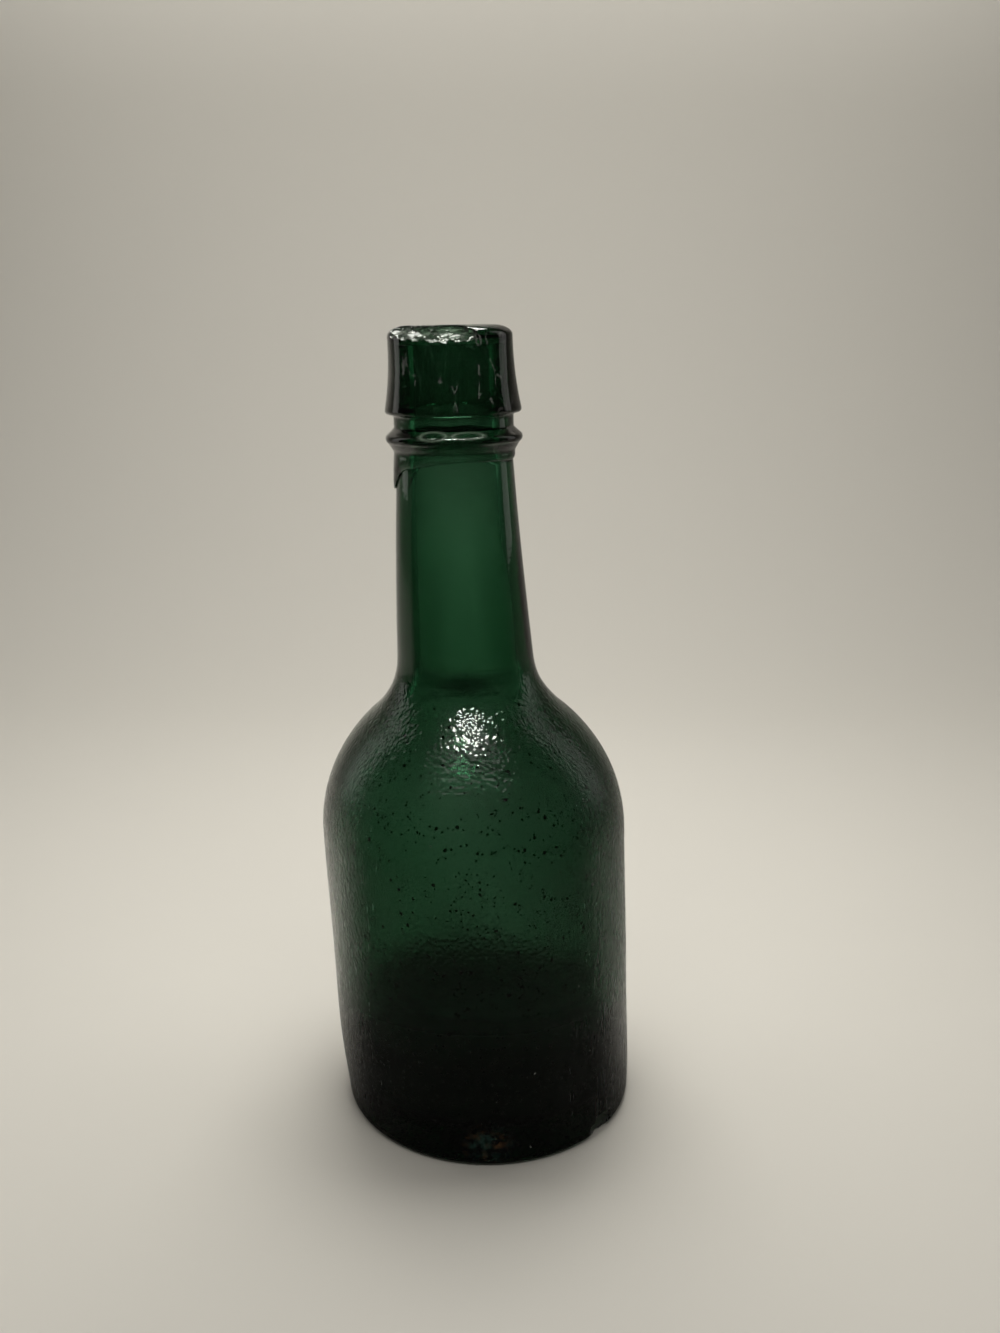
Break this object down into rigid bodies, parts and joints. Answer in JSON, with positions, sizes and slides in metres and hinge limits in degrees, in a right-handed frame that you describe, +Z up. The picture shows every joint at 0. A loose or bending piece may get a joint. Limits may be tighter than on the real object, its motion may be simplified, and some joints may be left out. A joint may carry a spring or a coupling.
{
  "type": "glass bottle",
  "caption": "Hand-blown dark green glass bottle with a push-up base, rounded shoulders, tapered neck, applied flared lip collar and string ring; holds liquid and stands upright.",
  "frame": {"origin": "on the surface the bottle stands on, under the middle of its box", "axes": "+Z up through the mouth, -Y towards the viewer of the picture, the bottle leans towards -X"},
  "size_m": [0.0786, 0.0764, 0.2],
  "materials": {
    "body_glass": "deep green blown glass, worn and pitted outside",
    "lip_glass": "deep green applied glass, chipped at the rim"
  },
  "bodies": {
    "root": {"blown_body": "body_glass", "lip_collar": "lip_glass", "string_ring": "lip_glass"}
  },
  "joints": []
}
